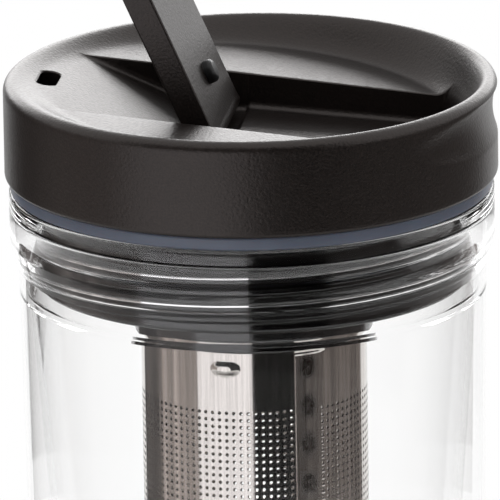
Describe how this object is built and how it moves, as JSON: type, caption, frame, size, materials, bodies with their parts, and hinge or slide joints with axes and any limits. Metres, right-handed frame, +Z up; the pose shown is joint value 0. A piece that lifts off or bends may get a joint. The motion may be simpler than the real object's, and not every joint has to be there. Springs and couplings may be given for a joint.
{
  "type": "tea infuser flask",
  "caption": "Clear double-wall tumbler with a black screw lid, flip lever over a drinking slot, and a perforated steel infuser basket hung from the lid.",
  "frame": {"origin": "centre of the base, on the surface that the flask stands on", "axes": "+Z up along the tumbler's axis, +X along the lid's channel and away from the drinking slot"},
  "size_m": [0.086, 0.086, 0.2186],
  "materials": {
    "clear_plastic": "clear, polished",
    "black_plastic": "fine moulded texture",
    "black_rubber": "smooth",
    "grey_silicone": "translucent, satin",
    "steel": "polished stainless"
  },
  "bodies": {
    "tumbler": {"outer_shell": "clear_plastic", "inner_liner": "clear_plastic"},
    "seal": {"lid_seal": "grey_silicone"},
    "lid": {"lid_cap": "black_plastic", "lid_plug": "black_plastic", "lever_pin": "steel"},
    "lever": {"lever": "black_plastic", "keeper_stud": "black_rubber", "sip_stopper": "black_rubber"},
    "basket": {"basket_collar": "black_plastic", "basket_wall": "steel", "basket_base": "steel"}
  },
  "joints": [
    {"name": "lid_rise", "type": "slide", "parent": "tumbler", "child": "seal", "axis": [0, 0, 1], "range_m": [0, 0.0068]},
    {"name": "lid_turn", "type": "hinge", "parent": "seal", "child": "lid", "pos_m": [0, 0, 0.1744], "axis": [0, 0, 1], "range_deg": [0, 540]},
    {"name": "lever_pivot", "type": "hinge", "parent": "lid", "child": "lever", "pos_m": [-0.0065, 0, 0.18372], "axis": [0, 1, 0], "range_deg": [-44, 118]},
    {"name": "basket_twist", "type": "hinge", "parent": "lid", "child": "basket", "pos_m": [0, 0, 0.1557], "axis": [0, 0, 1], "range_deg": [0, 40]}
  ],
  "couplings": [
    {"joint": "lid_rise", "follows": "lid_turn", "m_per_rad": 0.0007162}
  ]
}
